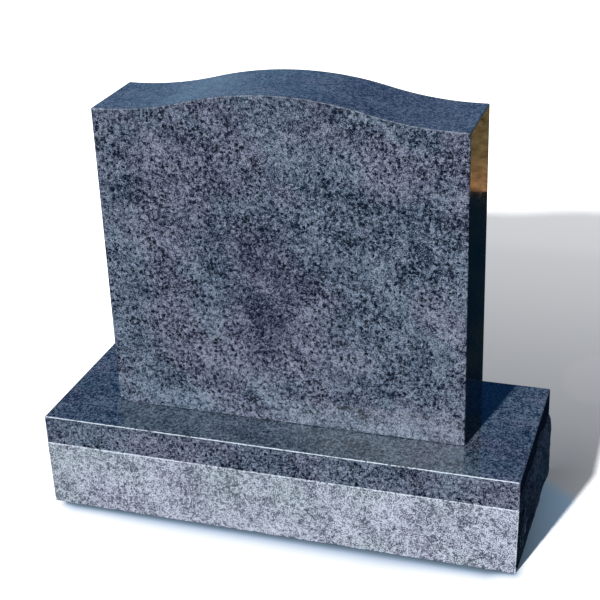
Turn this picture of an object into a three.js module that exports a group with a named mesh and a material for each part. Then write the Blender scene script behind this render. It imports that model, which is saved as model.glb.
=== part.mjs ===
// An upright granite headstone: a polished tablet with a serpentine top, standing on a wide base.
// Millimetres, +Z up, +X to the right seen from the front, +Y to the back.
// The origin is on the ground, under the middle of the base's polished outline.

import * as THREE from "three";

// Tablet
const tabletWidth = 610;
const tabletThickness = 149;
const shoulderHeight = 531;
const crownRise = 37.5;
const shoulderLevel = 13;
const tabletArris = 1.8;

// Base
const baseWidth = 820;
const baseDepth = 310;
const baseHeight = 170;
const marginHeight = 51;
const frontLedge = 84.5;
const baseArris = 2.2;
const steeledProud = 1.4;

// Rock-pitched faces: how far the broken stone stands out, and where its edges lie
const endBulge = 14;
const endSwell = 7;
const frontBatter = 1.4;
const backBulge = 42;
const backSwell = 34;
const pitchSlope = 0.68;
const frontSlope = 0.3;
const footSlope = 0.16;
const spallDepth = 3;
const spallRadius = 30;
const facetPitch = 85;

// Mesh fineness
const arcSegments = 10;
const cellSize = 13;
const rockRows = 9;

// A repeatable number from 0 to 1 for each whole number
function chance(number) {
  const wave = Math.sin(number * 127.1 + 311.7) * 43758.5453;
  return wave - Math.floor(wave);
}

// Flat facets that together wrap a low pillow, as large flakes leave the stone
function facetPlanes(face) {
  const across = Math.max(2, Math.round(face.length / facetPitch));
  const planes = [];
  for (let column = 0; column < across; column++) {
    for (let row = 0; row < 2; row++) {
      const key = face.seed + column * 7 + row * 3;
      const u = ((column + 0.25 + 0.5 * chance(key)) / across) * face.length;
      const v = ((row + 0.25 + 0.5 * chance(key + 1)) / 2) * face.height;
      const swing = (2 * u) / face.length - 1;
      const lift = (2 * v) / face.height - 1;
      planes.push({
        u,
        v,
        level: face.bulge * (0.82 + 0.3 * chance(key + 2) - 0.12 * lift * lift),
        slopeU: 0.12 * (chance(key + 3) - 0.5) - 0.08 * swing,
        slopeV: 0.16 * (chance(key + 4) - 0.5) - 0.14 * lift,
      });
    }
  }
  return planes;
}

// Shell-shaped spalls that the pitching chisel took along the upper and lower lines
function spalls(face) {
  const count = Math.max(3, Math.round(face.length / (1.4 * spallRadius)));
  const list = [];
  for (let place = 0; place < count; place++) {
    const key = face.seed + 401 + place * 5;
    const high = place % 3 !== 2;
    list.push({
      u: ((place + chance(key)) / count) * face.length,
      v: high ? face.height * (0.8 + 0.2 * chance(key + 1)) : face.height * 0.3 * chance(key + 1),
      radius: spallRadius * (0.7 + 0.7 * chance(key + 2)),
      depth: spallDepth * (0.5 + chance(key + 3)),
    });
  }
  return list;
}

// How far a rock-pitched face stands out of its plane, u along the face and v up from the ground
function relief(face, u, v) {
  const share = u / face.length;
  const startEdge = edgeRelief(face.start, face, v);
  const stopEdge = edgeRelief(face.stop, face, v);
  const wander = 0.25 * Math.sin(u / 31 + face.seed) + 0.2 * Math.sin(u / 13);
  let out = lerp(startEdge, stopEdge, share) + footSlope * (1 + wander) * v;
  for (const plane of face.planes) {
    out = Math.min(out, plane.level + plane.slopeU * (u - plane.u) + plane.slopeV * (v - plane.v));
  }
  const startSlope = face.start < 0 ? frontSlope : pitchSlope;
  const stopSlope = face.stop < 0 ? frontSlope : pitchSlope;
  out = Math.min(out, startEdge + startSlope * u, stopEdge + stopSlope * (face.length - u));
  out = Math.min(out, pitchSlope * (1 + 0.5 * wander) * (face.height - v));
  let bite = 0;
  for (const spall of face.spalls) {
    const reach = ((u - spall.u) ** 2 + (v - spall.v) ** 2) / spall.radius ** 2;
    bite = Math.max(bite, spall.depth * (1 - reach));
  }
  const clear = Math.min(1, u / spallRadius, (face.length - u) / spallRadius);
  return out > 0 ? Math.max(0, out - bite * clear) : out;
}

// Relief of a face's upright edge: a front edge leans in towards the ground, a rear one swells out
function edgeRelief(swell, face, v) {
  return swell < 0 ? swell * (1 - v / face.height) : swell;
}

function rockFace(seed, length, bulge, start, stop) {
  const face = { seed, length, height: baseHeight - marginHeight, bulge, start, stop };
  face.planes = facetPlanes(face);
  face.spalls = spalls(face);
  return face;
}

// One closed ring of points around the base: front, right end, back, left end
function baseRing(z, inset, proud, pitched) {
  const halfWidth = baseWidth / 2 - inset;
  const halfDepth = baseDepth / 2 - inset;
  const front = -halfDepth - proud;
  const endOut = (face, share) => (pitched ? relief(face, share * face.length, z) : 0);
  const rearRight = halfDepth + endOut(backFace, 0);
  const rearLeft = halfDepth + endOut(backFace, 1);
  const cornerRight = halfWidth + endOut(rightFace, 1);
  const cornerLeft = -halfWidth - endOut(leftFace, 0);
  const ring = [];
  for (let step = 0; step < endCells; step++) {
    const share = step / endCells;
    ring.push(new THREE.Vector3(halfWidth + endOut(rightFace, share), lerp(front, rearRight, share), z));
  }
  for (let step = 0; step < backCells; step++) {
    const share = step / backCells;
    ring.push(new THREE.Vector3(lerp(cornerRight, cornerLeft, share), halfDepth + endOut(backFace, share), z));
  }
  for (let step = 0; step <= endCells; step++) {
    const share = step / endCells;
    ring.push(new THREE.Vector3(-halfWidth - endOut(leftFace, share), lerp(rearLeft, front, share), z));
  }
  return ring;
}

function lerp(from, to, share) {
  return from + (to - from) * share;
}

// Rings from the ground up, skinned into one closed body
function skinRings(rings) {
  const count = rings[0].length;
  const positions = rings.flat().flatMap((point) => [point.x, point.y, point.z]);
  const index = [];
  for (let level = 0; level + 1 < rings.length; level++) {
    for (let place = 0; place < count; place++) {
      const next = (place + 1) % count;
      const low = level * count;
      const high = low + count;
      index.push(low + place, low + next, high + next, low + place, high + next, high + place);
    }
  }
  const cap = (ring) => THREE.ShapeUtils.triangulateShape(ring.map((p) => new THREE.Vector2(p.x, p.y)), []);
  const top = (rings.length - 1) * count;
  for (const [a, b, c] of cap(rings[0])) {
    index.push(a, c, b);
  }
  for (const [a, b, c] of cap(rings[rings.length - 1])) {
    index.push(top + a, top + b, top + c);
  }
  const geometry = new THREE.BufferGeometry();
  geometry.setAttribute("position", new THREE.Float32BufferAttribute(positions, 3));
  geometry.setIndex(index);
  geometry.computeVertexNormals();
  return geometry;
}

// The base is one stone: broken and steeled faces below, a polished margin and top above
function makeBase() {
  const marginFoot = baseHeight - marginHeight;
  const rings = [];
  for (let row = 0; row < rockRows; row++) {
    const share = 0.5 - 0.5 * Math.cos((Math.PI * row) / rockRows);
    rings.push(baseRing(lerp(0, marginFoot, share), 0, steeledProud, true));
  }
  rings.push(baseRing(marginFoot - steeledProud, 0, steeledProud, true));
  rings.push(baseRing(marginFoot, 0, 0, false));
  rings.push(baseRing(baseHeight - baseArris, 0, 0, false));
  rings.push(baseRing(baseHeight, baseArris, 0, false));
  const granite = new THREE.MeshStandardMaterial({ color: 0x7c8592, roughness: 0.55, metalness: 0 });
  const base = new THREE.Mesh(skinRings(rings), granite);
  base.name = "base";
  return base;
}

// Outline of the tablet: the top is a convex crown arc with a concave arc running out to each shoulder
function tabletOutline() {
  const half = tabletWidth / 2;
  const reach = half - shoulderLevel;
  const radius = (reach ** 2 / crownRise + crownRise) / 4;
  const sweep = Math.asin(reach / 2 / radius);
  const down = -Math.PI / 2;
  const up = Math.PI / 2;
  const shape = new THREE.Shape();
  shape.moveTo(-half + tabletArris, 0);
  shape.lineTo(half - tabletArris, 0);
  shape.lineTo(half, tabletArris);
  shape.lineTo(half, shoulderHeight - tabletArris);
  shape.lineTo(half - tabletArris, shoulderHeight);
  shape.lineTo(reach, shoulderHeight);
  shape.absarc(reach, shoulderHeight + radius, radius, down, down - sweep, true);
  shape.absarc(0, shoulderHeight + crownRise - radius, radius, up - sweep, up + sweep, false);
  shape.absarc(-reach, shoulderHeight + radius, radius, down + sweep, down, true);
  shape.lineTo(-half + tabletArris, shoulderHeight);
  shape.lineTo(-half, shoulderHeight - tabletArris);
  shape.lineTo(-half, tabletArris);
  shape.closePath();
  return shape;
}

function makeTablet() {
  const geometry = new THREE.ExtrudeGeometry(tabletOutline(), {
    depth: tabletThickness - 2 * tabletArris,
    curveSegments: arcSegments,
    bevelThickness: tabletArris,
    bevelSize: tabletArris,
    bevelOffset: -tabletArris,
    bevelSegments: 1,
  });
  const granite = new THREE.MeshStandardMaterial({ color: 0x565f71, roughness: 0.18, metalness: 0 });
  const tablet = new THREE.Mesh(geometry, granite);
  tablet.name = "tablet";
  tablet.rotation.x = Math.PI / 2;
  tablet.position.set(0, frontLedge + tabletThickness - tabletArris - baseDepth / 2, baseHeight);
  return tablet;
}

const endCells = Math.round(baseDepth / cellSize);
const backCells = Math.round(baseWidth / cellSize);
const rightFace = rockFace(11, baseDepth, endBulge, -frontBatter, endSwell);
const backFace = rockFace(57, baseWidth, backBulge, backSwell, backSwell);
const leftFace = rockFace(83, baseDepth, endBulge, endSwell, -frontBatter);

const headstone = new THREE.Group();
headstone.add(makeBase(), makeTablet());

export default headstone;
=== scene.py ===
"""Looks of an upright granite headstone: a polished tablet with a serpentine top on a pitched base."""
import math

import bpy
import numpy as np
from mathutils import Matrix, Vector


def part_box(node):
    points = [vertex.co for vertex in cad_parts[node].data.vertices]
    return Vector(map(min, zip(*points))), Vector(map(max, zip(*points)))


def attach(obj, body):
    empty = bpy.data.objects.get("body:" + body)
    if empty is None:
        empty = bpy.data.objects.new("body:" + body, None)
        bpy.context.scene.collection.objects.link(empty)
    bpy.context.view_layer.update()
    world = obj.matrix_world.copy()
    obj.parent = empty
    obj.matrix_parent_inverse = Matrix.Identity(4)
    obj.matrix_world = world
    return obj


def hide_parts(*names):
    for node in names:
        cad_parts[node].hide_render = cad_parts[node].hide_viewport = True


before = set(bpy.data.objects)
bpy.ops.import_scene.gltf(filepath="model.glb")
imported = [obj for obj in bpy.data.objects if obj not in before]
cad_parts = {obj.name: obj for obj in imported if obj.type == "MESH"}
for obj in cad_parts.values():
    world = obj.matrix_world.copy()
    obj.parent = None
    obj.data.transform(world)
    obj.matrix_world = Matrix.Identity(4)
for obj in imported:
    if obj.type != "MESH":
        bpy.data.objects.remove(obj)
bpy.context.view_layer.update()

MM = 0.001

# Tablet, in millimetres, from the frame and the curve of its top
tablet_low, tablet_high = (np.array(corner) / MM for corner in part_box("tablet"))
crown_rise = 37.5
shoulder_level = 13.0
tablet_arris_painted_highlight = 1.8
corner_round = 2.2
arris_hold = 1.2

# Base, in millimetres: the polished outline, and the frame's own lowest and highest corners
base_low, base_high = (np.array(corner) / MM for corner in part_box("base"))
base_width = 820.0
base_depth = 310.0
base_height = base_high[2]
margin_height = 51.0
margin_foot = base_height - margin_height
base_arris_painted_highlight = 2.2
steeled_proud = 1.4

# Rock-pitched faces
end_bulge = 14.0
end_swell = 7.0
front_batter = 1.4
back_bulge = 42.0
back_swell = 34.0
pitch_slope = 0.68
front_slope = 0.30
foot_slope = 0.16
spall_depth = 3.0
spall_radius = 30.0
facet_pitch = 85.0

# Camera, at the photograph's place: metres and degrees
camera_place = (0.6677, -1.9392, 1.3339)
camera_turn = (64.709, 1.957, 17.830)
camera_lens = 81.584
sensor_width = 36.0


class Nodes:
    """Adds nodes to one shader tree. An input given a socket is linked, and any other value is set."""

    def __init__(self, tree):
        self.tree = tree
        tree.nodes.clear()

    def add(self, kind, inputs=None, **settings):
        node = self.tree.nodes.new(kind)
        for name, value in settings.items():
            setattr(node, name, value)
        for name, value in (inputs or {}).items():
            self.feed(node.inputs[name], value)
        return node

    def feed(self, socket, value):
        if isinstance(value, bpy.types.NodeSocket):
            self.tree.links.new(value, socket)
        else:
            socket.default_value = value

    def maths(self, operation, first, second=0.0, clamp=False):
        return self.add("ShaderNodeMath", {0: first, 1: second}, operation=operation, use_clamp=clamp).outputs[0]

    def vector(self, operation, first, second):
        return self.add("ShaderNodeVectorMath", {0: first, 1: second}, operation=operation).outputs[0]

    def span(self, value, low, high, at_low=0.0, at_high=1.0):
        limits = {"Value": value, "From Min": low, "From Max": high, "To Min": at_low, "To Max": at_high}
        return self.add("ShaderNodeMapRange", limits, interpolation_type="SMOOTHSTEP").outputs[0]

    def span_linear(self, value, low, high):
        return self.add("ShaderNodeMapRange", {"Value": value, "From Min": low, "From Max": high}).outputs[0]

    def noise(self, where, scale, detail=2.0, roughness=0.5, output="Fac", curl=0.0):
        look = {"Vector": where, "Scale": scale, "Detail": detail, "Roughness": roughness, "Distortion": curl}
        return self.add("ShaderNodeTexNoise", look).outputs[output]

    def cells(self, where, scale):
        """Distance to the nearest of some scattered points, and two chance values that each point has."""
        node = self.add("ShaderNodeTexVoronoi", {"Vector": where, "Scale": scale})
        parts = self.add("ShaderNodeSeparateColor", {0: node.outputs["Color"]})
        return node.outputs["Distance"], parts.outputs[0], parts.outputs[1]

    def mix(self, share, first, second, blend="MIX"):
        node = self.add("ShaderNodeMix", {0: share, 6: first, 7: second}, data_type="RGBA", blend_type=blend)
        return node.outputs[2]

    def shade(self, colour, factor):
        """A colour times one number."""
        return self.add("ShaderNodeVectorMath", {0: colour, "Scale": factor}, operation="SCALE").outputs[0]


def rgba(red, green, blue):
    return (red, green, blue, 1.0)


# Granite, as one pattern through the whole block: sizes in metres
grit_size = 0.0018
grain_size = 0.0026
speck_size = 0.0030
fleck_size = 0.0060
crystal_size = 0.0070
bruise_and_glint_size = 0.0045
patch_size = 0.030
cloud_size = 0.085
flow_turn = math.radians(-38)


def stone_space(g, shift):
    """Places in the block, and the same places turned and squeezed along the stone's movement."""
    place = g.vector("ADD", g.add("ShaderNodeTexCoord").outputs["Object"], shift)
    turned = g.add("ShaderNodeVectorRotate", {"Vector": place, "Angle": flow_turn}, rotation_type="Y_AXIS")
    flow = g.vector("MULTIPLY", turned.outputs[0], (0.55, 1.0, 1.0))
    return place, flow


def wobbled(g, place, size, amount):
    """Places moved about by a soft noise, so that what is drawn there gets ragged edges."""
    drift = g.vector("SUBTRACT", g.noise(place, 1 / size, 2.0, 0.6, "Color"), (0.5, 0.5, 0.5))
    return g.vector("ADD", place, g.shade(drift, amount))


def cloud_mask(g, place, cloud):
    """1 in the middle of a soft oval on the stone's front and 0 outside it."""
    x, z, half_width, half_height = cloud
    aside = g.vector("SUBTRACT", place, (x, 0.0, z))
    measured = g.vector("MULTIPLY", aside, (1 / half_width, 0.0, 1 / half_height))
    distance = g.add("ShaderNodeVectorMath", {0: measured}, operation="LENGTH").outputs["Value"]
    return g.span(distance, 0.3, 1.0, 1.0, 0.0)


def granite_pattern(g, shift, look, clouds=()):
    """The stone's parts: its lightness, the tint of its clouds, and its big dark crystals, from 0 to 1."""
    place, flow = stone_space(g, shift)
    ragged = wobbled(g, place, 0.0030, 0.0036)
    grit = g.noise(place, 1 / grit_size, 0.0, 0.5)
    grain = g.noise(place, 1 / grain_size, 1.0, 0.5, curl=1.6)
    speck, speck_luck = g.cells(ragged, 1 / speck_size)[1:]
    fleck = g.noise(ragged, 1 / fleck_size, 1.5, 0.5)
    patch = g.noise(flow, 1 / patch_size, 2.0, 0.6)
    cloud = g.noise(flow, 1 / cloud_size, 2.0, 0.55)
    tint = g.span(g.noise(g.vector("ADD", flow, (1.3, 4.1, 2.2)), 1 / cloud_size, 2.0, 0.55), 0.38, 0.62)
    thick = g.noise(g.vector("ADD", flow, (3.1, 1.7, 0.4)), 1.6 / cloud_size, 3.0, 0.6)
    light = look["base"]
    layers = {"grit": grit, "grain": grain, "speck": speck, "fleck": fleck, "patch": patch, "cloud": cloud}
    for weight, part in layers.items():
        light = g.maths("ADD", light, g.maths("MULTIPLY", g.maths("SUBTRACT", part, 0.5), look[weight]))
    dark_share = g.span(thick, 0.34, 0.66, look["few"], look["many"])
    drifted = wobbled(g, g.vector("SUBTRACT", place, shift), 0.045, 0.075)
    # Some ovals are painted light rather than clouds in the stone, such as the pool on the tablet's foot and the sheen
    # on its crown.
    for oval, lighter, pinker, denser in clouds:
        mask = cloud_mask(g, drifted, oval)
        light = g.maths("ADD", light, g.maths("MULTIPLY", mask, lighter))
        tint = g.maths("ADD", tint, g.maths("MULTIPLY", mask, pinker), clamp=True)
        dark_share = g.maths("ADD", dark_share, g.maths("MULTIPLY", mask, denser))
    torn = wobbled(g, g.vector("ADD", place, (0.37, 0.11, 0.73)), 0.0042, 0.0085)
    distance, luck, depth = g.cells(torn, 1 / crystal_size)
    radius = g.maths("MINIMUM", g.maths("MULTIPLY", g.maths("SUBTRACT", dark_share, luck), 2.5), 0.46)
    distance = g.maths("ADD", distance, g.maths("SUBTRACT", grain, 0.5))
    crystals = g.span(g.maths("SUBTRACT", distance, radius), -0.05, 0.05, 1.0, 0.0)
    crystals = g.maths("MULTIPLY", crystals, g.span(depth, 0.0, 0.6, 0.6, 1.0))
    gathered = g.maths("MULTIPLY", g.maths("SUBTRACT", 0.5, fleck), look["gather"])
    speck_share = g.maths("ADD", gathered, g.maths("ADD", g.maths("MULTIPLY", dark_share, 0.4), look["specks"]))
    specks = g.span(g.maths("SUBTRACT", speck_share, speck_luck), -0.01, 0.08)
    specks = g.maths("MULTIPLY", g.maths("MULTIPLY", specks, look["speck_dark"]), g.span(speck, 0.0, 1.0, 0.4, 1.0))
    dark = g.maths("MAXIMUM", crystals, specks)
    return {"place": place, "light": light, "tint": tint, "dark": dark, "grain": grain}


def granite_colour(g, parts, look):
    """Turns the stone's parts into one colour, through a ramp for each of its two tints."""
    tones = []
    for stops in (look["teal"], look["lilac"]):
        ramp = g.add("ShaderNodeValToRGB", {"Fac": parts["light"]})
        for index, (position, colour) in enumerate(stops):
            if index > 1:
                ramp.color_ramp.elements.new(position)
            ramp.color_ramp.elements[index].position = position
            ramp.color_ramp.elements[index].color = rgba(*colour)
        tones.append(ramp.outputs[0])
    ground = g.mix(parts["tint"], tones[0], tones[1])
    return g.mix(g.maths("MULTIPLY", parts["dark"], look["dark_share"]), ground, rgba(*look["dark"]))


def daylit(green, red_shift, blue_shift, light):
    """The stone colour that shows as a given screen green, with red and blue apart from it, in that much light."""
    levels = [max(level, 1) / 255 for level in (green + red_shift, green, green + blue_shift)]
    return [(level / 12.92 if level < 0.04 else ((level + 0.055) / 1.055) ** 2.4) / light for level in levels]


def tones(stops, red_shift, blue_shift, light=1.39):
    """Stops of a colour ramp, from pairs of position and screen green."""
    return [(position, daylit(green, red_shift, blue_shift, light)) for position, green in stops]


polished_stops = ((0.0, 20), (0.20, 54), (0.38, 90), (0.58, 110), (1.0, 164))
top_stops = ((0.0, 20), (0.22, 42), (0.42, 66), (0.62, 82), (1.0, 116))
steeled_stops = ((0.0, 84), (0.25, 124), (0.45, 160), (0.62, 178), (1.0, 222))
rock_stops = ((0.0, 56), (0.30, 96), (0.62, 138), (1.0, 184))

polished_look = {
    "base": 0.51, "grit": 1.5, "grain": 0.90, "speck": 0.35, "fleck": 1.20, "patch": 0.75, "cloud": 0.30,
    "few": 0.00, "many": 0.66, "specks": 0.05, "gather": 1.5, "speck_dark": 1.0,
    "teal": tones(polished_stops, -14, 19), "lilac": tones(polished_stops, -6, 20),
    "dark": daylit(18, -8, 16, 1.39), "dark_share": 0.95,
}

top_look = {
    "base": 0.55, "grit": 1.8, "grain": 2.2, "speck": 0.35, "fleck": 1.6, "patch": 0.9, "cloud": 0.5,
    "few": 0.10, "many": 0.46, "specks": 0.06, "gather": 0.9, "speck_dark": 0.9,
    "teal": tones(top_stops, -15, 14, 0.72), "lilac": tones(top_stops, -8, 16, 0.72),
    "dark": daylit(18, -8, 14, 0.72), "dark_share": 0.8,
}

steeled_look = {
    "base": 0.61, "grit": 4.0, "grain": 3.4, "speck": 0.40, "fleck": 1.8, "patch": 1.3, "cloud": 0.8,
    "few": 0.04, "many": 0.48, "specks": 0.08, "gather": 0.7, "speck_dark": 1.0,
    "teal": tones(steeled_stops, -11, 13), "lilac": tones(steeled_stops, -7, 18),
    "dark": daylit(64, -8, 17, 1.39), "dark_share": 0.88,
}

rock_look = {
    "base": 0.50, "grit": 1.4, "grain": 1.6, "speck": 0.40, "fleck": 1.2, "patch": 1.2, "cloud": 0.9,
    "few": 0.08, "many": 0.40, "specks": 0.06, "gather": 1.0, "speck_dark": 0.9,
    "teal": tones(rock_stops, -21, 15, 0.76), "lilac": tones(rock_stops, -1, 16, 0.76),
    "dark": daylit(30, -7, 15, 0.80), "dark_share": 0.75,
}


def new_material(name):
    material = bpy.data.materials.new(name)
    material.use_nodes = True
    return material, Nodes(material.node_tree)


def close_material(g, sockets):
    surface = g.add("ShaderNodeBsdfPrincipled", sockets)
    g.add("ShaderNodeOutputMaterial", {"Surface": surface.outputs[0]})


def bump(g, height, distance, strength):
    return g.add("ShaderNodeBump", {"Height": height, "Distance": distance, "Strength": strength}).outputs[0]


def polished_granite(name, shift, look, ior, clouds=()):
    """Mirror-polished stone, whose dark crystals take a little less polish than the ground."""
    material, g = new_material(name)
    parts = granite_pattern(g, shift, look, clouds)
    close_material(g, {
        "Base Color": granite_colour(g, parts, look),
        "Roughness": g.span(parts["dark"], 0.0, 1.0, 0.03, 0.09),
        "IOR": ior,
        "Normal": bump(g, parts["dark"], 0.00002, 0.3),
    })
    return material


def steeled_granite(name, shift):
    """Fine-ground, matt stone: the same crystals, whitened by the grinding."""
    material, g = new_material(name)
    parts = granite_pattern(g, shift, steeled_look, steeled_clouds)
    close_material(g, {
        "Base Color": granite_colour(g, parts, steeled_look),
        "Roughness": g.span(parts["grain"], 0.2, 0.8, 0.50, 0.70),
        "Normal": bump(g, parts["grain"], 0.0004, 0.5),
    })
    return material


def broken_granite(name, shift):
    """Rock-pitched stone: crystals broken across, drawn darker and tealer near the front as painted shade, with pale
    bruises there that are partly a painted glint.
    """
    material, g = new_material(name)
    parts = granite_pattern(g, shift, rock_look)
    crumb = g.maths("ADD", parts["grain"], g.noise(parts["place"], 260.0, 4.0, 0.65))
    place = g.add("ShaderNodeSeparateXYZ", {0: g.add("ShaderNodeTexCoord").outputs["Object"]})
    bruise_and_glint_share = g.span(place.outputs["Y"], -base_depth * MM / 2, -base_depth * MM / 2 + 0.028, 0.62, 0.0)
    # Near the front the rock is drawn darker and tealer, a painted shade that holds down the grazing sun; it fades out
    # from 30 to 100 mm behind the front.
    front_shade_fade = g.span(place.outputs["Y"], -base_depth * MM / 2 + 0.030, -base_depth * MM / 2 + 0.100)
    parts["tint"] = g.maths("MULTIPLY", parts["tint"], front_shade_fade)
    ground = g.shade(granite_colour(g, parts, rock_look), g.maths("ADD", 0.5, g.maths("MULTIPLY", front_shade_fade, 0.5)))
    # Pale cells near the front arris: pitching bruises, partly a painted glint of chips catching the sun.
    distance, luck = g.cells(wobbled(g, parts["place"], 0.004, 0.006), 1 / bruise_and_glint_size)[:2]
    bruise_and_glint = g.span(g.maths("SUBTRACT", distance, g.maths("SUBTRACT", bruise_and_glint_share, luck)), 0.0, 0.12, 1.0, 0.0)
    close_material(g, {
        "Base Color": g.mix(bruise_and_glint, ground, rgba(0.62, 0.80, 0.90)),
        "Roughness": g.span(parts["grain"], 0.2, 0.8, 0.55, 0.85),
        "Specular IOR Level": 0.25,
        "Normal": bump(g, crumb, 0.0010, 0.5),
    })
    return material


def arris_painted_highlight(name, shift, look, highlight_paleness):
    """An arris that is rubbed round and left unpolished, drawn pale as a painted highlight, with its crystals still
    showing.
    """
    material, g = new_material(name)
    parts = granite_pattern(g, shift, look)
    # Mixing towards this pale colour paints a highlight on the edge.
    tone = g.mix(highlight_paleness, granite_colour(g, parts, look), rgba(0.70, 0.76, 0.84))
    close_material(g, {
        "Base Color": g.mix(g.maths("MULTIPLY", parts["dark"], 0.8), tone, rgba(0.04, 0.05, 0.07)),
        "Roughness": g.span(parts["grain"], 0.2, 0.8, 0.25, 0.45),
    })
    return material


def joint_painted_shade():
    """Dark, dull finish that shows as a line where the tablet stands on the base: painted shade in the seam."""
    material, g = new_material("tablet_joint_painted_shade")
    grain = g.noise(g.add("ShaderNodeTexCoord").outputs["Object"], 600.0, 3.0, 0.6)
    close_material(g, {
        "Base Color": g.mix(grain, rgba(0.006, 0.010, 0.016), rgba(0.030, 0.040, 0.055)),
        "Roughness": g.span(grain, 0.3, 0.7, 0.8, 0.95),
        "Normal": bump(g, grain, 0.0004, 0.5),
    })
    return material


# Meshes

def mesh_piece(name, points, faces, materials, face_materials, smooth):
    """A mesh object in metres from points in millimetres, with a material and a smooth flag for each face."""
    mesh = bpy.data.meshes.new(name)
    mesh.from_pydata((np.asarray(points) * MM).tolist(), [], faces)
    for material in materials:
        mesh.materials.append(material)
    mesh.polygons.foreach_set("material_index", face_materials)
    mesh.polygons.foreach_set("use_smooth", smooth)
    mesh.update()
    piece = bpy.data.objects.new(name, mesh)
    bpy.context.scene.collection.objects.link(piece)
    return piece


def ring_faces(low, high, count):
    """Quads between two closed rings of points, given by their first numbers."""
    return [(low + i, low + (i + 1) % count, high + (i + 1) % count, high + i) for i in range(count)]


# Tablet

# Clouds of the tablet's front, the first of them a painted pool of light along its foot: middle x and z and half
# sizes in metres, then how much lighter, how much pinker and how much richer in dark crystals the stone is there
tablet_clouds_and_light = (
    # A painted pool of light: the sun thrown up from the polished ledge lightens the tablet's foot.
    ((0.000, 0.180, 0.60, 0.050), 0.115, -0.2, -0.08),
    ((-0.030, 0.400, 0.10, 0.150), -0.215, 0.6, -0.45),
    ((-0.050, 0.540, 0.15, 0.080), -0.04, 0.2, 0.00),
    ((-0.290, 0.600, 0.07, 0.160), 0.02, -0.5, 0.08),
    ((-0.270, 0.430, 0.07, 0.080), 0.02, -0.2, -0.08),
    ((-0.250, 0.570, 0.035, 0.030), -0.12, -0.4, 0.45),
    ((-0.030, 0.545, 0.030, 0.025), -0.08, 0.0, 0.25),
    ((-0.165, 0.600, 0.08, 0.100), 0.03, 0.5, -0.05),
    ((-0.160, 0.310, 0.09, 0.070), 0.07, 0.5, 0.05),
    ((0.110, 0.570, 0.07, 0.050), -0.02, -0.8, 0.12),
    ((0.225, 0.540, 0.09, 0.090), -0.04, -0.7, 0.15),
    ((0.270, 0.420, 0.06, 0.100), 0.03, 0.2, -0.05),
    ((0.190, 0.440, 0.06, 0.060), 0.02, -0.6, 0.10),
    ((0.220, 0.300, 0.11, 0.110), 0.01, -0.8, 0.05),
    ((0.090, 0.300, 0.09, 0.100), 0.03, 0.6, -0.08),
)


# Clouds of the tops, where only x counts: the first, lighter and tealer on the left of the crown, is a painted sheen
# of the sky; the second only tints the right pinker
top_clouds_and_sheen = (
    ((-0.130, 0.720, 0.10, 0.200), 0.22, -0.9, -0.05),
    ((0.200, 0.720, 0.15, 0.200), 0.00, 0.9, 0.00),
)
ledge_clouds = (
    ((-0.050, 0.170, 0.36, 0.400), 0.05, -1.0, 0.40),
)
band_clouds = (
    ((0.100, 0.145, 0.60, 0.400), 0.00, 0.1, 0.00),
)
steeled_clouds = (
    ((-0.340, 0.060, 0.16, 0.300), -0.12, 0.0, 0.04),
)


def arc(centre, radius, start, stop, steps, outward):
    """Points of an arc with the way that each faces: outward is 1 on a crown and -1 in a hollow."""
    angles = [start + (stop - start) * i / steps for i in range(1, steps + 1)]
    return [
        (centre[0] + radius * math.cos(a), centre[1] + radius * math.sin(a), outward * math.cos(a), outward * math.sin(a))
        for a in angles
    ]


def tablet_outline(half, shoulder, hold):
    """Outline from the front, anticlockwise, as (x, z, facing x, facing z), with z from the tablet's foot."""
    reach = half - shoulder_level
    radius = (reach ** 2 / crown_rise + crown_rise) / 4
    sweep = math.asin(reach / 2 / radius)
    up = math.pi / 2
    round_at = half - corner_round
    points = arc((round_at, corner_round), corner_round, -up, 0.0, 5, 1)
    points += [(half, z, 1.0, 0.0) for z in (corner_round + hold, shoulder - corner_round - hold, shoulder - corner_round)]
    points += arc((round_at, shoulder - corner_round), corner_round, 0.0, up, 5, 1)
    points += [(x, shoulder, 0.0, 1.0) for x in (round_at - hold, reach + hold, reach)]
    points += arc((reach, shoulder + radius), radius, -up, -up - sweep, 40, -1)
    points += arc((0.0, shoulder + crown_rise - radius), radius, up - sweep, up + sweep, 80, 1)
    points += arc((-reach, shoulder + radius), radius, -up + sweep, -up, 40, -1)
    points += [(-x, shoulder, 0.0, 1.0) for x in (reach + hold, round_at - hold, round_at)]
    points += arc((-round_at, shoulder - corner_round), corner_round, up, 2 * up, 5, 1)
    points += [(-half, z, -1.0, 0.0) for z in (shoulder - corner_round - hold, corner_round + hold, corner_round)]
    points += arc((-round_at, corner_round), corner_round, 2 * up, 3 * up, 5, 1)
    points += [(round_at, 0.0, 0.0, -1.0)]
    return np.array(points)


near_turns = [math.radians(angle) for angle in (0, 22.5, 45, 67.5, 90)]


def arris_profile(radius, depth, hold):
    """How far each ring across the thickness is drawn in, and how deep it lies behind the front."""
    near = [(radius * (1 - math.sin(t)), radius * (1 - math.cos(t))) for t in near_turns]
    held = [(0.0, radius + hold), (0.0, depth - radius - hold)]
    return near + held + [(inset, depth - back) for inset, back in reversed(near)]


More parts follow.
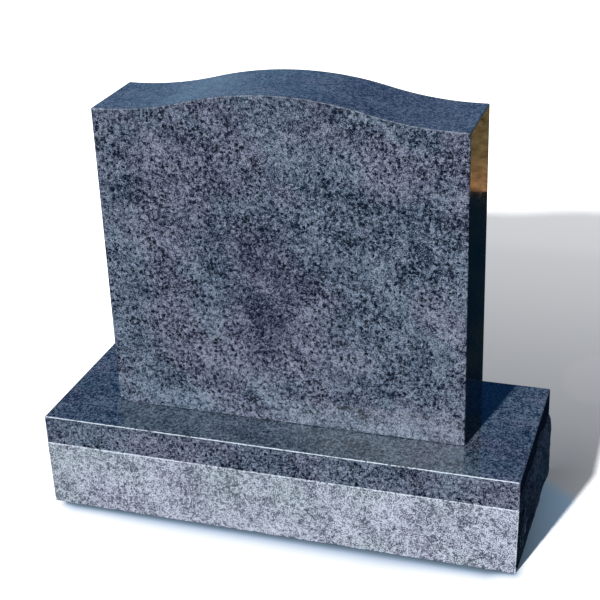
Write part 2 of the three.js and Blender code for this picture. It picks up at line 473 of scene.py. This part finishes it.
def make_tablet():
    half = (tablet_high[0] - tablet_low[0]) / 2
    depth = tablet_high[1] - tablet_low[1]
    shoulder = tablet_high[2] - tablet_low[2] - crown_rise
    outline = tablet_outline(half, shoulder, arris_hold)
    count = len(outline)
    profile = arris_profile(tablet_arris_painted_highlight, depth, arris_hold)
    points = []
    for inset, back in profile:
        x = outline[:, 0] - inset * outline[:, 2]
        z = tablet_low[2] + outline[:, 1] - inset * outline[:, 3]
        points += [(a, tablet_low[1] + back, b) for a, b in zip(x, z)]
    faces = [tuple(range(count)), tuple(reversed(range((len(profile) - 1) * count, len(profile) * count)))]
    for level in range(len(profile) - 1):
        faces += [face[::-1] for face in ring_faces(level * count, (level + 1) * count, count)]
    smooth = [False, False] + [True] * (len(faces) - 2)
    # The third finish draws the arrises pale, as a painted highlight.
    front, top, highlight_arris, joint_shade = range(4)
    upward = outline[:, 3] > 0.5
    downward = outline[:, 3] < -0.99
    finish = [front, front]
    for level in range(len(profile) - 1):
        above = top if len(near_turns) - 1 <= level <= len(profile) - len(near_turns) - 1 else highlight_arris
        # At the foot the first step of the arris stays pale; the rest is drawn dark, a painted shade in the seam under
        # the tablet.
        below = front if level >= len(near_turns) - 1 else joint_shade if level else highlight_arris
        finish += [above if up else below if down else front for up, down in zip(upward, downward)]
    shift = (0.0, 0.0, 0.0)
    stones = [
        polished_granite("tablet_polished", shift, polished_look, 1.6, tablet_clouds_and_light),
        polished_granite("tablet_top", shift, top_look, 1.9, top_clouds_and_sheen),
        arris_painted_highlight("tablet_arris_painted_highlight", shift, polished_look, 0.08),
        joint_painted_shade(),
    ]
    tablet = mesh_piece("tablet_stone", points, faces, stones, finish, smooth)
    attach(tablet, "root")
    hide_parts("tablet")
    return tablet


# Base

def chance(number):
    """A repeatable number from 0 to 1 for each whole number."""
    wave = math.sin(number * 127.1 + 311.7) * 43758.5453
    return wave - math.floor(wave)


def facet_planes(face):
    """Flat facets that together wrap a low pillow, as large flakes leave the stone."""
    across = max(2, round(face["length"] / facet_pitch))
    planes = []
    for column in range(across):
        for row in range(2):
            key = face["seed"] + column * 7 + row * 3
            u = (column + 0.25 + 0.5 * chance(key)) / across * face["length"]
            v = (row + 0.25 + 0.5 * chance(key + 1)) / 2 * margin_foot
            swing = 2 * u / face["length"] - 1
            lift = 2 * v / margin_foot - 1
            level = face["bulge"] * (0.82 + 0.3 * chance(key + 2) - 0.12 * lift * lift)
            slope_u = 0.12 * (chance(key + 3) - 0.5) - 0.08 * swing
            slope_v = 0.16 * (chance(key + 4) - 0.5) - 0.14 * lift
            planes.append((u, v, level, slope_u, slope_v))
    return planes


def spalls(face):
    """Shell-shaped spalls that the pitching chisel took along the upper and lower lines."""
    count = max(3, round(face["length"] / (1.4 * spall_radius)))
    found = []
    for place in range(count):
        key = face["seed"] + 401 + place * 5
        u = (place + chance(key)) / count * face["length"]
        high = margin_foot * (0.8 + 0.2 * chance(key + 1))
        low = margin_foot * 0.3 * chance(key + 1)
        radius = spall_radius * (0.7 + 0.7 * chance(key + 2))
        depth = spall_depth * (0.5 + chance(key + 3))
        found.append((u, low if place % 3 == 2 else high, radius, depth))
    return found


def rock_face(seed, length, bulge, start, stop):
    face = {"seed": seed, "length": length, "bulge": bulge, "start": start, "stop": stop}
    face["planes"] = facet_planes(face)
    face["spalls"] = spalls(face)
    return face


def edge_relief(swell, v):
    return swell * (1 - v / margin_foot) if swell < 0 else swell + 0 * v


def relief(face, u, v):
    """How far a rock-pitched face stands out of its plane, u along the face and v up from the ground."""
    start = edge_relief(face["start"], v)
    stop = edge_relief(face["stop"], v)
    wander = 0.25 * np.sin(u / 31 + face["seed"]) + 0.2 * np.sin(u / 13)
    share = u / face["length"]
    out = start + (stop - start) * share + foot_slope * (1 + wander) * v
    for at_u, at_v, level, slope_u, slope_v in face["planes"]:
        out = np.minimum(out, level + slope_u * (u - at_u) + slope_v * (v - at_v))
    start_slope = front_slope if face["start"] < 0 else pitch_slope
    stop_slope = front_slope if face["stop"] < 0 else pitch_slope
    out = np.minimum(out, start + start_slope * u)
    out = np.minimum(out, stop + stop_slope * (face["length"] - u))
    out = np.minimum(out, pitch_slope * (1 + 0.5 * wander) * (margin_foot - v))
    bite = np.zeros_like(out)
    for at_u, at_v, radius, depth in face["spalls"]:
        bite = np.maximum(bite, depth * (1 - ((u - at_u) ** 2 + (v - at_v) ** 2) / radius ** 2))
    clear = np.minimum(1, np.minimum(u, face["length"] - u) / spall_radius)
    return np.where(out > 0, np.maximum(0, out - bite * clear), out)


def lattice_noise(u, v, seed):
    """Smooth noise from 0 to 1 over a plane, from chance values at whole-numbered places."""
    low_u = np.floor(u)
    low_v = np.floor(v)
    part_u = (u - low_u) ** 2 * (3 - 2 * (u - low_u))
    part_v = (v - low_v) ** 2 * (3 - 2 * (v - low_v))

    def corner(step_u, step_v):
        wave = np.sin((low_u + step_u) * 127.1 + (low_v + step_v) * 269.5 + seed * 74.7) * 43758.5453
        return wave - np.floor(wave)

    low = corner(0, 0) * (1 - part_u) + corner(1, 0) * part_u
    high = corner(0, 1) * (1 - part_u) + corner(1, 1) * part_u
    return low * (1 - part_v) + high * part_v


# Fineness of the base's mesh, and of its broken surface, in millimetres
side_cells = (220, 160, 360, 160)
corner_cells = 4
rock_rows = 56
crumb_sizes = ((18.0, 1.6), (8.0, 1.0), (4.2, 0.6))
margin_wander = 1.3
chip_reach = 14.0
chip_depth = 2.4
chip_size = 4.6
arris_turns = [math.radians(angle) for angle in (0, 22.5, 45, 67.5, 90)]


def crumbled(face, u, v):
    """Relief of a rock face with the small breaks that only take stone away."""
    out = relief(face, u, v)
    loss = np.zeros_like(out)
    for number, (size, depth) in enumerate(crumb_sizes):
        loss = loss + depth * lattice_noise(u / size, v / size, face["seed"] + number)
    below_margin = np.clip((margin_foot - v) / 6, 0, 1)
    from_front = u if face["start"] < 0 else face["length"] - u
    chips = chip_depth * lattice_noise(u / chip_size, v / chip_size, face["seed"] + 9) ** 2
    if min(face["start"], face["stop"]) < 0:
        loss = loss + chips * np.exp(-from_front / chip_reach) * np.clip(from_front / 2, 0, 1)
    rise = np.where(from_front < chip_reach, 1.0, np.clip(out / 4, 0, 1))
    return out - loss * np.clip(from_front / 3, 0, 1) * rise * below_margin


def margin_drop(face, u):
    """How far the pitched line under the polished margin wanders down, u along the face."""
    return margin_wander * (0.6 * lattice_noise(u / 24, 0.5 + 0 * u, face["seed"]) + 0.4 * lattice_noise(u / 6, 0.5 + 0 * u, 3))


def base_ring(height, inset, proud, round_off, rocks, pitched):
    """One closed ring of points: front, right end, back and left end, each with the corner after it."""
    half_width = base_width / 2 - inset
    half_depth = base_depth / 2 - inset
    right, back, left = rocks
    level = min(height, margin_foot)

    def out(face, place):
        place = np.atleast_1d(np.asarray(place, float))
        return crumbled(face, place * face["length"], np.full_like(place, level)) if pitched else 0 * place

    front = -half_depth - proud
    corners = np.array([
        (-half_width - out(left, 1)[0], front),
        (half_width + out(right, 0)[0], front),
        (half_width + out(right, 1)[0], half_depth + out(back, 0)[0]),
        (-half_width - out(left, 0)[0], half_depth + out(back, 1)[0]),
    ])
    spans = []
    for side, cells in enumerate(side_cells):
        start, stop = corners[side], corners[(side + 1) % 4]
        part = round_off / np.linalg.norm(stop - start)
        share = np.linspace(part, 1 - part, cells + 1)
        line = start + (stop - start) * share[:, None]
        if side == 1:
            line[:, 0] = half_width + out(right, share)
        elif side == 2:
            line[:, 1] = half_depth + out(back, share)
        elif side == 3:
            line[:, 0] = -half_width - out(left, share)
        spans.append(line)
    ring = []
    for side, line in enumerate(spans):
        corner, after = corners[(side + 1) % 4], spans[(side + 1) % 4][0]
        turn = np.arange(1, corner_cells)[:, None] / corner_cells
        bend = (1 - turn) ** 2 * line[-1] + 2 * turn * (1 - turn) * corner + turn ** 2 * after
        ring += [line, bend]
    flat = np.concatenate(ring)
    z = np.full(len(flat), height)
    if height <= margin_foot:
        step = side_cells[0] + corner_cells
        for face, cells in zip(rocks, side_cells[1:]):
            share = np.linspace(0, 1, cells + 1)
            drop = margin_drop(face, share * face["length"]) * np.minimum(1, 12 * np.minimum(share, 1 - share))
            z[step:step + cells + 1] -= drop * height / margin_foot
            step += cells + corner_cells
    return np.column_stack([flat, z])


def chip_front(points, count, rows):
    """Small chips along the foot of the steeled front."""
    front = slice(0, side_cells[0] + 1)
    for row in range(rows):
        ring = points[row * count:(row + 1) * count]
        x, z = ring[front, 0], ring[front, 2]
        bite = np.clip(lattice_noise(x / 9, z / 7, 21) - 0.55, 0, 1) * 5 * np.clip(1 - z / 6, 0, 1)
        ring[front, 1] += bite


def make_base():
    right = rock_face(11, base_depth, end_bulge, -front_batter, end_swell)
    back = rock_face(57, base_width, back_bulge, back_swell, back_swell)
    left = rock_face(83, base_depth, end_bulge, end_swell, -front_batter)
    rocks = (right, back, left)
    lip_foot = margin_foot - steeled_proud
    rings = [base_ring(lip_foot * row / rock_rows, 0.0, steeled_proud, 1.6, rocks, True) for row in range(rock_rows)]
    rings.append(base_ring(lip_foot, 0.0, steeled_proud, 1.6, rocks, True))
    rings.append(base_ring(margin_foot, 0.0, 0.0, 1.6, rocks, False))
    rings.append(base_ring(base_height - base_arris_painted_highlight - arris_hold, 0.0, 0.0, 1.6, rocks, False))
    for angle in arris_turns:
        z = base_height - base_arris_painted_highlight * (1 - math.sin(angle))
        rings.append(base_ring(z, base_arris_painted_highlight * (1 - math.cos(angle)), 0.0, 1.6, rocks, False))
    count = len(rings[0])
    points = np.concatenate(rings)
    chip_front(points, count, rock_rows)
    points[:, :2] = np.clip(points[:, :2], base_low[:2], base_high[:2])
    faces = [tuple(reversed(range(count))), tuple(range(len(points) - count, len(points)))]
    # The fifth and sixth finishes draw the front arrises and the small step above the steeled face pale, as a painted
    # highlight.
    polished, top, steeled, broken, highlight_arris, lip_highlight = range(6)
    front_end = side_cells[0]
    finish = [steeled, top]
    smooth = [False, False]
    for level in range(len(rings) - 1):
        faces += ring_faces(level * count, (level + 1) * count, count)
        if level < rock_rows:
            row_finish = [steeled if i < front_end else broken for i in range(count)]
            # The two upright arrises of the steeled front are drawn pale, a painted highlight.
            row_finish[front_end:front_end + 2] = [highlight_arris] * 2
            row_finish[-2:] = [highlight_arris] * 2
            row_smooth = [i >= front_end for i in range(count)]
        elif level == rock_rows:
            row_finish = [lip_highlight if i < front_end else broken for i in range(count)]
            row_smooth = [False] * count
        else:
            row_finish = [polished] * count
            if level > rock_rows + 1:
                # Two rings of the top arris are drawn pale along the front, a painted highlight.
                pale = level in (rock_rows + 4, rock_rows + 5)
                row_finish = [highlight_arris if pale and i < front_end else top for i in range(count)]
            row_smooth = [level > rock_rows + 1] * count
        finish += row_finish
        smooth += row_smooth
    shift = (2.3, 0.7, 1.1)
    stones = [
        polished_granite("base_polished", shift, polished_look, 1.6, band_clouds),
        polished_granite("base_top", shift, top_look, 1.9, ledge_clouds),
        steeled_granite("base_steeled", shift),
        broken_granite("base_rock", shift),
        arris_painted_highlight("base_arris_painted_highlight", shift, steeled_look, 0.6),
        arris_painted_highlight("base_lip_painted_highlight", shift, steeled_look, 0.45),
    ]
    base = mesh_piece("base_stone", points, faces, stones, finish, smooth)
    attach(base, "root")
    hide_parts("base")
    return base


# Floor, light and camera

def floor_plane(name, size, height, material):
    half = size / 2
    corners = [(-half, -half, height), (half, -half, height), (half, half, height), (-half, half, height)]
    mesh = bpy.data.meshes.new(name)
    mesh.from_pydata(corners, [], [(0, 1, 2, 3)])
    mesh.materials.append(material)
    plane = bpy.data.objects.new(name, mesh)
    bpy.context.scene.collection.objects.link(plane)
    return plane


# Distance from the base in metres, and the floor's shade there
fill_stops = ((0.0, 0.17), (0.06, 0.23), (0.18, 0.31), (0.33, 0.372), (0.53, 0.455), (0.70, 0.525), (0.84, 0.572), (0.95, 0.60), (1.04, 0.66), (1.6, 0.76))
contact_stops = (
    (0.000, (0.045, 0.065, 0.095)),
    (0.009, (0.110, 0.149, 0.191)),
    (0.015, (0.197, 0.250, 0.320)),
    (0.020, (0.300, 0.355, 0.435)),
    (0.026, (0.390, 0.440, 0.510)),
    (0.036, (0.520, 0.550, 0.575)),
    (0.060, (0.700, 0.700, 0.700)),
    (0.090, (0.900, 0.900, 0.900)),
)
contact_half = (0.392, 0.108)


def stepped_colour(g, value, reach, stops):
    """A colour ramp over a distance of reach metres."""
    ramp = g.add("ShaderNodeValToRGB", {"Fac": g.maths("MULTIPLY", value, 1 / reach)})
    for index, (distance, colour) in enumerate(stops):
        if index > 1:
            ramp.color_ramp.elements.new(distance / reach)
        ramp.color_ramp.elements[index].position = distance / reach
        ramp.color_ramp.elements[index].color = rgba(*colour)
    return ramp.outputs[0]


def distance_from_box(g, place, half):
    """Distance in metres, over the floor, from an upright box whose front is the base's front."""
    aside = g.vector("SUBTRACT", place, (0.011, half[1] - base_depth * MM / 2, 0.0))
    beyond = g.vector("SUBTRACT", g.vector("ABSOLUTE", aside, (0, 0, 0)), (*half, 0.0))
    outside = g.vector("MAXIMUM", beyond, (0.0, 0.0, 0.0))
    return g.add("ShaderNodeVectorMath", {0: outside}, operation="LENGTH").outputs["Value"]


def slate_zone(g, place):
    """1 on the strip of floor beside the base's right end, where the shade turns slate blue."""
    way = g.add("ShaderNodeSeparateXYZ", {0: place})
    back = g.maths("ADD", way.outputs["Y"], g.maths("MULTIPLY", way.outputs["X"], 0.8))
    return g.maths("MULTIPLY", g.span(way.outputs["X"], 0.38, 0.41), g.span(back, 0.43, 0.485, 1.0, 0.0))


def slate_shade(g, place):
    """Colour of that strip, which lightens away from the base and to the back."""
    way = g.add("ShaderNodeSeparateXYZ", {0: place})
    aside = g.maths("MULTIPLY", g.maths("SUBTRACT", way.outputs["X"], 0.425), 1.3)
    level = g.maths("ADD", g.maths("ADD", aside, 0.122), g.maths("MULTIPLY", way.outputs["Y"], 0.24))
    return g.shade((0.69, 1.0, 1.36), level)


def pale_floor_material():
    """A pale floor with painted shade: it glows with a painted fill that deepens to slate blue close to the stone,
    with a painted contact shadow along the base.
    """
    material, g = new_material("floor_pale")
    place = g.add("ShaderNodeTexCoord").outputs["Object"]
    near = distance_from_box(g, place, contact_half)
    along = g.add("ShaderNodeSeparateXYZ", {0: place}).outputs["X"]
    sideways = g.maths("ABSOLUTE", along)
    shrink = g.maths("SUBTRACT", g.span(sideways, 0.36, 0.42, 1.1, 3.4), g.maths("MULTIPLY", along, 0.45))
    shorter = g.maths("MULTIPLY", near, g.span(sideways, 0.18, 0.38, 0.0, 14.0))
    near = g.maths("MULTIPLY", near, g.maths("ADD", shrink, shorter))
    tone = stepped_colour(g, near, contact_stops[-1][0], contact_stops)
    wide = distance_from_box(g, place, (base_width * MM / 2, base_depth * MM / 2))
    greys = [(at, (level, level, level * 1.02)) for at, level in fill_stops]
    fill = stepped_colour(g, wide, fill_stops[-1][0], greys)
    soft = g.mix(slate_zone(g, place), g.mix(1.0, tone, fill, "MULTIPLY"), slate_shade(g, place))
    # Painted shadow: inside this oval the floor takes no sun and glows with a painted sky light instead, which closes
    # a gap in the cast shadow behind the base's right end.
    patch = g.vector("MULTIPLY", g.vector("SUBTRACT", place, (0.450, 0.52, 0.0)), (1 / 0.065, 1 / 0.11, 0.0))
    sunny = g.span(g.add("ShaderNodeVectorMath", {0: patch}, operation="LENGTH").outputs["Value"], 0.8, 1.0)
    surface = g.add("ShaderNodeBsdfDiffuse", {"Color": g.shade(tone, sunny)})
    skylit = g.shade((0.025, 0.038, 0.059), g.maths("SUBTRACT", 1.0, sunny))
    glow = g.add("ShaderNodeEmission", {"Color": g.vector("ADD", soft, skylit), "Strength": 1.0})
    both = g.add("ShaderNodeAddShader", {0: surface.outputs[0], 1: glow.outputs[0]})
    g.add("ShaderNodeOutputMaterial", {"Surface": both.outputs[0]})
    return material


def make_floor():
    """The floor is seen by the camera alone, so that its white doesn't light the dark ends."""
    floor = floor_plane("floor", 40.0, 0.0, pale_floor_material())
    floor.visible_diffuse = False
    floor.visible_glossy = False
    floor.visible_shadow = False
    return floor


def make_lamp(name, direction, strength, spread, lit, colour=(1.0, 1.0, 1.0), shiny=True, matt=True):
    """A distant lamp that lights the objects in lit; direction points from the stone to the lamp."""
    lamp = bpy.data.lights.new(name, "SUN")
    lamp.energy = strength
    lamp.angle = math.radians(spread)
    lamp.color = colour
    holder = bpy.data.objects.new(name, lamp)
    bpy.context.scene.collection.objects.link(holder)
    x, y, z = direction
    holder.rotation_euler = (math.atan2(math.hypot(x, y), z), 0.0, math.atan2(x, -y))
    holder.visible_glossy = shiny
    holder.visible_diffuse = matt
    receivers = bpy.data.collections.new(name + "_lit")
    for lit_object in lit:
        receivers.objects.link(lit_object)
    holder.light_linking.receiver_collection = receivers


def compass(azimuth, elevation):
    """The way to a lamp that stands to the left of the stone's front by an angle, and up by another."""
    flat = math.cos(math.radians(elevation))
    turn = math.radians(azimuth)
    return (-math.sin(turn) * flat, -math.cos(turn) * flat, math.sin(math.radians(elevation)))


def make_sky():
    """White to the camera, a dim soft light to the stone, and in its polish a blue sky over a dark ground."""
    world = bpy.data.worlds.new("sky")
    bpy.context.scene.world = world
    world.use_nodes = True
    g = Nodes(world.node_tree)
    rays = g.add("ShaderNodeLightPath")
    way = g.add("ShaderNodeSeparateXYZ", {0: g.add("ShaderNodeTexCoord").outputs["Generated"]})
    height = way.outputs["Z"]
    ramp = g.add("ShaderNodeValToRGB", {"Fac": g.span_linear(height, -1.0, 1.0)})
    for index, (rise, colour) in enumerate(sky_stops):
        if index > 1:
            ramp.color_ramp.elements.new((rise + 1) / 2)
        ramp.color_ramp.elements[index].position = (rise + 1) / 2
        ramp.color_ramp.elements[index].color = rgba(*colour)
    warm_band = g.maths("MULTIPLY", g.span(height, warm_foot, warm_foot + 0.001), g.span(height, -0.05, 0.0, 1.0, 0.0))
    behind = g.maths("MULTIPLY", g.span(way.outputs["X"], 0.10, 0.13), g.span(way.outputs["X"], 0.24, 0.34, 1.0, 0.0))
    warm = g.maths("MULTIPLY", g.maths("MULTIPLY", warm_band, behind), g.span(way.outputs["Y"], 0.5, 0.7))
    sunny = g.mix(g.span(height, warm_foot, warm_foot + 0.03), rgba(0.50, 0.26, 0.115), rgba(0.25, 0.175, 0.075))
    mottle = g.noise(g.add("ShaderNodeTexCoord").outputs["Generated"], 210.0, 3.0, 0.7)
    mossy = g.span(g.noise(g.add("ShaderNodeTexCoord").outputs["Generated"], 26.0, 2.0, 0.6), 0.45, 0.65)
    mossy = g.maths("MULTIPLY", g.maths("MULTIPLY", mossy, behind), g.span(height, -0.50, -0.47))
    ground = g.mix(mossy, ramp.outputs[0], rgba(0.013, 0.022, 0.026))
    mirrored = g.mix(warm, ground, g.shade(sunny, g.span(mottle, 0.30, 0.70, 0.15, 1.9)))
    soft = g.mix(g.span(height, -0.3, 0.9), rgba(0.004, 0.010, 0.018), rgba(0.010, 0.028, 0.046))
    seen = g.mix(rays.outputs["Is Glossy Ray"], soft, mirrored)
    seen = g.mix(rays.outputs["Is Camera Ray"], seen, rgba(1.0, 1.0, 1.0))
    sky = g.add("ShaderNodeBackground", {"Color": seen, "Strength": 1.0})
    g.add("ShaderNodeOutputWorld", {"Surface": sky.outputs[0]})


# Where the sunlit ground behind the stone begins in the mirror of its right end
warm_foot = -0.3556

# Height of a mirrored ray, from straight down to straight up, and the colour that it meets
sky_stops = (
    (-1.0, (0.001, 0.002, 0.006)),
    (-0.50, (0.001, 0.003, 0.010)),
    (-0.46, (0.004, 0.014, 0.028)),
    (-0.30, (0.004, 0.016, 0.030)),
    (-0.02, (0.020, 0.034, 0.056)),
    (0.02, (0.170, 0.300, 0.480)),
    (0.284, (0.095, 0.195, 0.385)),
    (0.43, (0.006, 0.060, 0.220)),
    (1.0, (0.005, 0.050, 0.180)),
)


def make_light(stones, floor):
    make_lamp("sun", compass(12.4, 27.0), 5.0, 2.5, stones, shiny=False)
    make_lamp("glint", compass(12.4, 27.0), 0.2, 14.0, stones, matt=False)
    make_lamp("floor_sun", compass(15.3, 27.0), 9.0, 2.9, [floor])
    make_lamp("fill_back", (-0.35, 0.90, 0.00), 1.0, 16.0, stones, (0.85, 0.92, 1.0), shiny=False)
    make_lamp("fill_right", (0.6, 0.90, 0.30), 0.26, 24.0, stones[1:], (0.72, 0.80, 1.0), shiny=False)
    bpy.context.scene.view_settings.view_transform = "Standard"


def make_camera():
    camera = bpy.data.cameras.new("camera")
    camera.lens = camera_lens
    camera.sensor_width = sensor_width
    holder = bpy.data.objects.new("camera", camera)
    holder.location = camera_place
    holder.rotation_euler = [math.radians(angle) for angle in camera_turn]
    bpy.context.scene.collection.objects.link(holder)
    bpy.context.scene.camera = holder


make_camera()
tablet = make_tablet()
base = make_base()
floor = make_floor()
make_sky()
make_light([tablet, base], floor)
